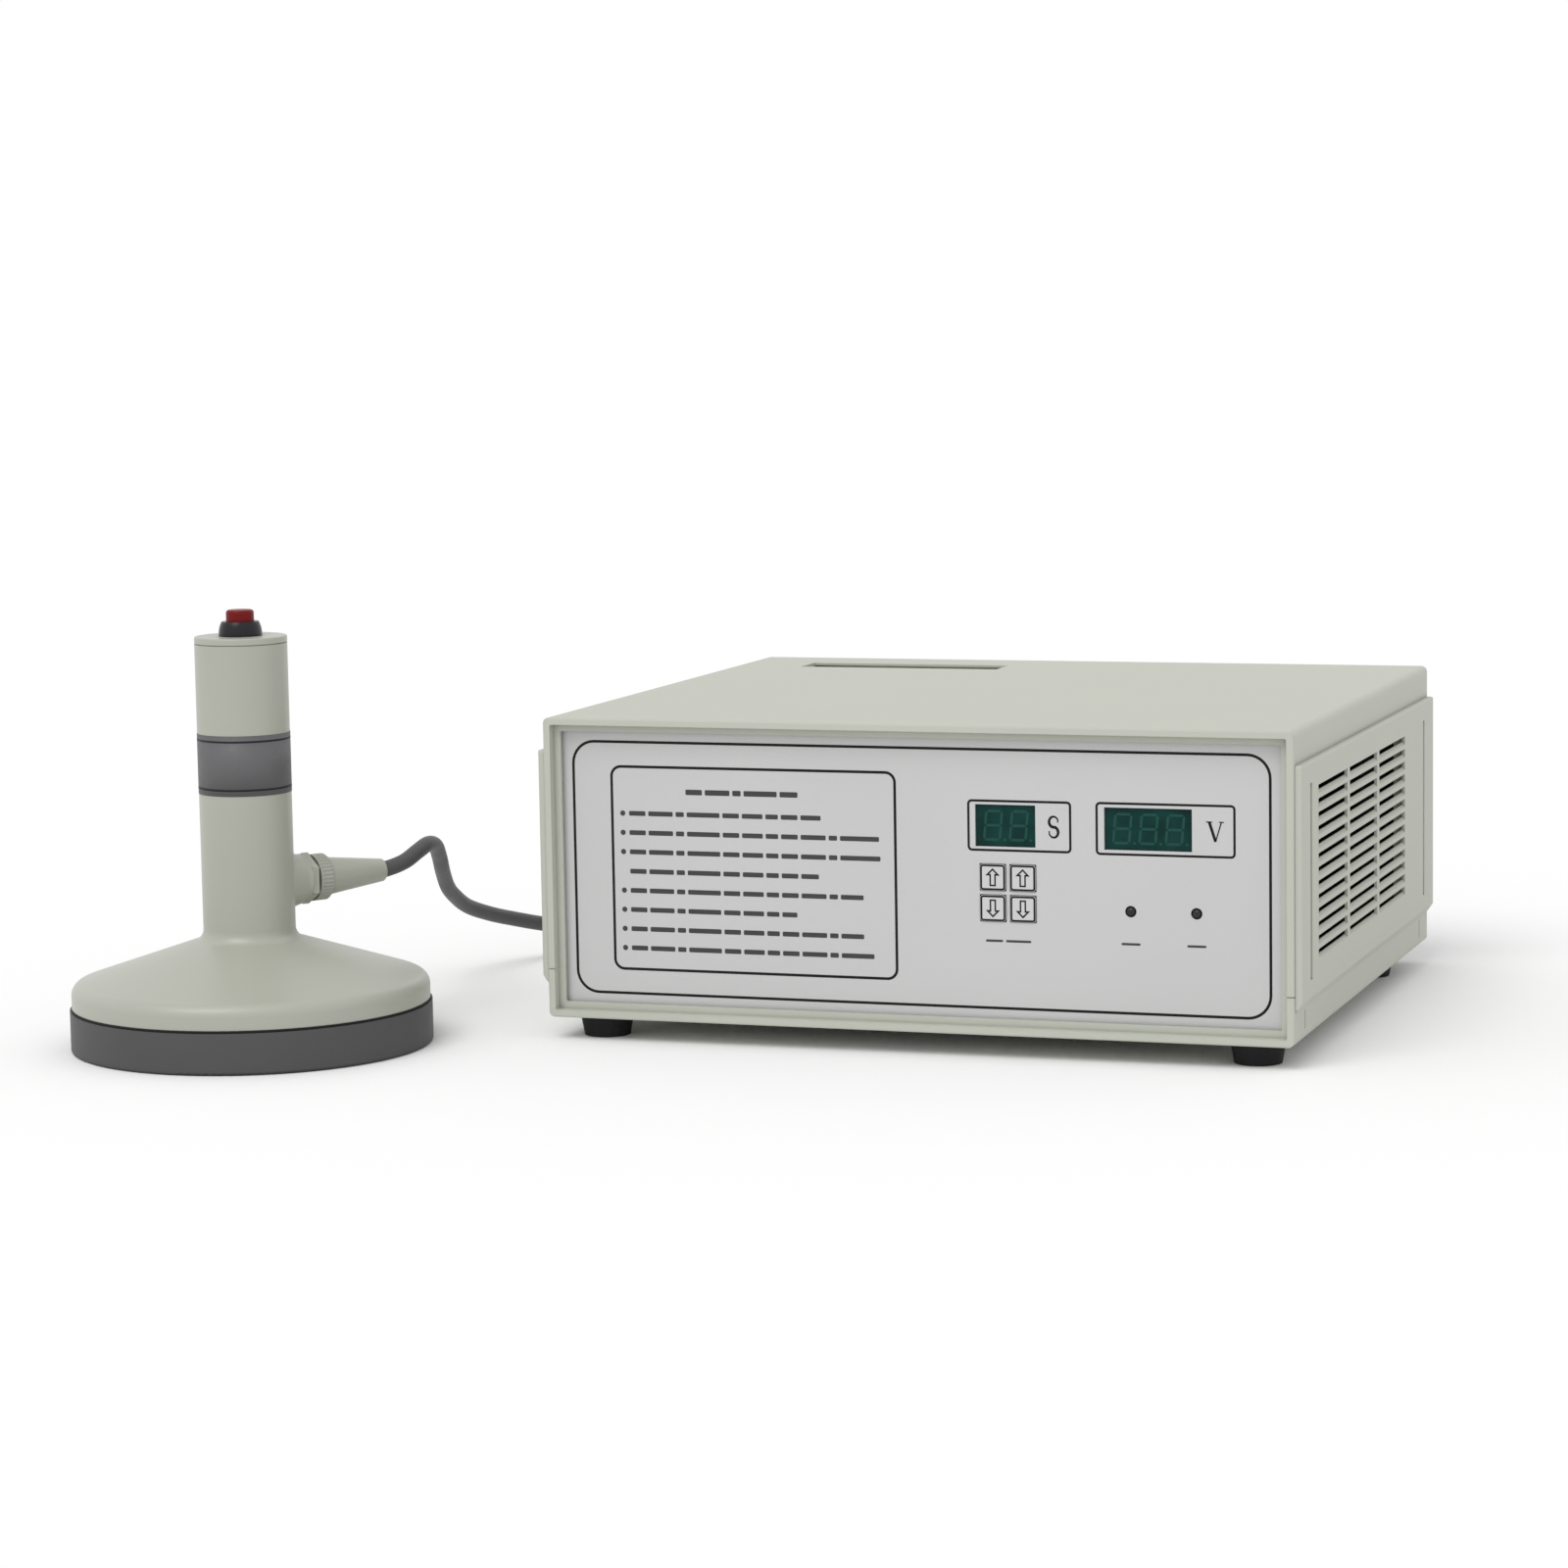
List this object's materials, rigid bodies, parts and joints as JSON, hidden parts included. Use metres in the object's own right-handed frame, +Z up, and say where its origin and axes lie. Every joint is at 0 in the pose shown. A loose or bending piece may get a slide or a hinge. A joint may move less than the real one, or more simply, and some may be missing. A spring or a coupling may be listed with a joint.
{
  "type": "induction cap sealer",
  "caption": "Hand-held induction cap sealer: a vented bench case with displays, keys and a mains inlet, and a round sealing head with a trigger in its handle, on a cable.",
  "frame": {"origin": "centre of the sealing face under the head, on the surface that head and case stand on", "axes": "+Z up along the handle, +X to the right along the case front, front panel faces -Y"},
  "size_m": [0.5996, 0.604, 0.2126],
  "materials": {
    "case_plastic": "fine-textured moulding",
    "panel_silver": "silver-grey printed film",
    "rear_black": "satin powder coat",
    "window_green": "dark tinted filter",
    "display_black": "moulded",
    "key_film": "printed film",
    "lamp_lens": "diffuse lens",
    "board_green": "solder mask",
    "spacer_brass": "turned",
    "bright_steel": "zinc plated",
    "sink_alloy": "extruded",
    "ferrite": "sintered",
    "copper_wire": "enamelled copper",
    "capacitor_sleeve": "shrunk sleeve",
    "fan_black": "moulded",
    "head_plastic": "satin moulding",
    "trigger_red": "smooth",
    "sole_grey": "turned heat-proof plastic",
    "foot_rubber": "matte",
    "cable_jacket": "smooth jacket"
  },
  "bodies": {
    "sealer": {"base_tray": "case_plastic", "top_cover": "case_plastic", "side_panel_left": "case_plastic", "side_panel_right": "case_plastic", "front_panel": "panel_silver", "rear_panel": "rear_black", "time_window": "window_green", "voltage_window": "window_green", "time_display": "display_black", "voltage_display": "display_black", "key_switches": "display_black", "left_lamp": "lamp_lens", "right_lamp": "lamp_lens", "control_board": "board_green", "board_spacers": "spacer_brass", "machine_screws": "bright_steel", "power_board": "board_green", "heat_sink": "sink_alloy", "power_transistors": "display_black", "transformer_core": "ferrite", "transformer_winding": "copper_wire", "filter_capacitors": "capacitor_sleeve", "fan_frame": "fan_black", "fan_guard": "bright_steel", "fan_screws": "bright_steel", "power_inlet": "fan_black", "inlet_pins": "bright_steel", "switch_frame": "fan_black", "case_gland_body": "head_plastic", "case_gland_ring": "head_plastic", "case_gland_boot": "head_plastic", "case_gland_nut": "head_plastic", "foot_front_left": "foot_rubber", "foot_front_right": "foot_rubber", "foot_rear_left": "foot_rubber", "foot_rear_right": "foot_rubber", "case_screws": "bright_steel", "head_shell": "head_plastic", "handle_cap": "head_plastic", "switch_bezel": "fan_black", "switch_body": "fan_black", "switch_nut": "bright_steel", "sealing_plate": "sole_grey", "shell_gasket": "foot_rubber", "induction_coil": "copper_wire", "ferrite_bars": "ferrite", "head_screws": "bright_steel", "head_gland_body": "head_plastic", "head_gland_ring": "head_plastic", "head_gland_boot": "head_plastic", "head_cable": "cable_jacket"},
    "trigger": {"trigger_button": "trigger_red"},
    "rocker": {"power_rocker": "fan_black"},
    "fan": {"fan_rotor": "fan_black"},
    "tens_up_button": {"tens_up_key": "key_film"},
    "units_up_button": {"units_up_key": "key_film"},
    "tens_down_button": {"tens_down_key": "key_film"},
    "units_down_button": {"units_down_key": "key_film"}
  },
  "joints": [
    {"name": "trigger_press", "type": "slide", "parent": "sealer", "child": "trigger", "axis": [0, 0, -1], "range_m": [0, 0.003], "stiffness_N_per_m": 600, "springref_m": -0.003},
    {"name": "tens_up_press", "type": "slide", "parent": "sealer", "child": "tens_up_button", "axis": [0, 1, 0], "range_m": [0, 0.0004], "stiffness_N_per_m": 2500, "springref_m": -0.0004},
    {"name": "units_up_press", "type": "slide", "parent": "sealer", "child": "units_up_button", "axis": [0, 1, 0], "range_m": [0, 0.0004], "stiffness_N_per_m": 2500, "springref_m": -0.0004},
    {"name": "tens_down_press", "type": "slide", "parent": "sealer", "child": "tens_down_button", "axis": [0, 1, 0], "range_m": [0, 0.0004], "stiffness_N_per_m": 2500, "springref_m": -0.0004},
    {"name": "units_down_press", "type": "slide", "parent": "sealer", "child": "units_down_button", "axis": [0, 1, 0], "range_m": [0, 0.0004], "stiffness_N_per_m": 2500, "springref_m": -0.0004},
    {"name": "rocker_tip", "type": "hinge", "parent": "sealer", "child": "rocker", "pos_m": [0.198, 0.3647, 0.109], "axis": [-1, 0, 0], "range_deg": [0, 18]},
    {"name": "fan_spin", "type": "hinge", "parent": "sealer", "child": "fan", "pos_m": [0.413, 0.3512, 0.0845], "axis": [0, 1, 0], "continuous": true}
  ]
}
